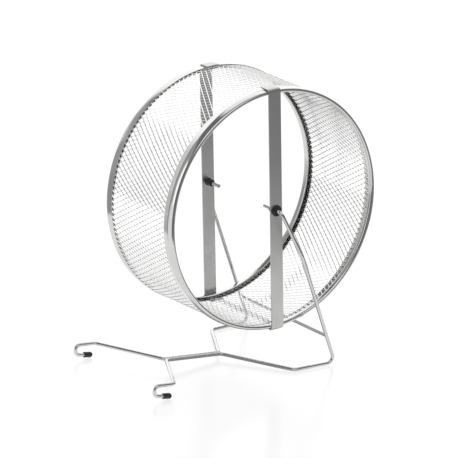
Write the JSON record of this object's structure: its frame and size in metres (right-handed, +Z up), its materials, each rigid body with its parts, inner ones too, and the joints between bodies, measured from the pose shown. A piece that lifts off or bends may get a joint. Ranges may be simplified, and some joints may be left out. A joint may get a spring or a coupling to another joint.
{
  "type": "rodent exercise wheel",
  "caption": "Silver wire-mesh exercise wheel for small rodents, open on both faces, turning on the pins of a bent-wire stand that hooks into a cage.",
  "frame": {"origin": "on the surface that the stand rests on, under the middle of the whole length and width", "axes": "+X along the stand from the hooks towards the foot of the legs, +Y along the axle towards the rear, +Z up"},
  "size_m": [0.2219, 0.1224, 0.2361],
  "materials": {
    "rim_steel": "bright rolled steel sheet, smooth and shiny",
    "mesh_steel": "expanded steel mesh, bright, with darker knuckles where the strands meet",
    "strip_steel": "satin steel strip, evenly grey",
    "bright_wire": "bright plated round wire",
    "black_plastic": "black moulded plastic, slightly glossy",
    "black_rubber": "black soft rubber, satin"
  },
  "bodies": {
    "stand": {"front_stand_wire": "bright_wire", "rear_stand_wire": "bright_wire", "leg_brace": "bright_wire", "front_hook_cap": "black_rubber", "rear_hook_cap": "black_rubber"},
    "wheel": {"front_rim": "rim_steel", "rear_rim": "rim_steel", "running_mesh": "mesh_steel", "front_crossbar": "strip_steel", "rear_crossbar": "strip_steel", "front_bushing": "black_plastic", "rear_bushing": "black_plastic"}
  },
  "joints": [
    {"name": "wheel_spin", "type": "hinge", "parent": "stand", "child": "wheel", "pos_m": [0.01095, 0, 0.13505], "axis": [0, 1, 0], "continuous": true}
  ]
}
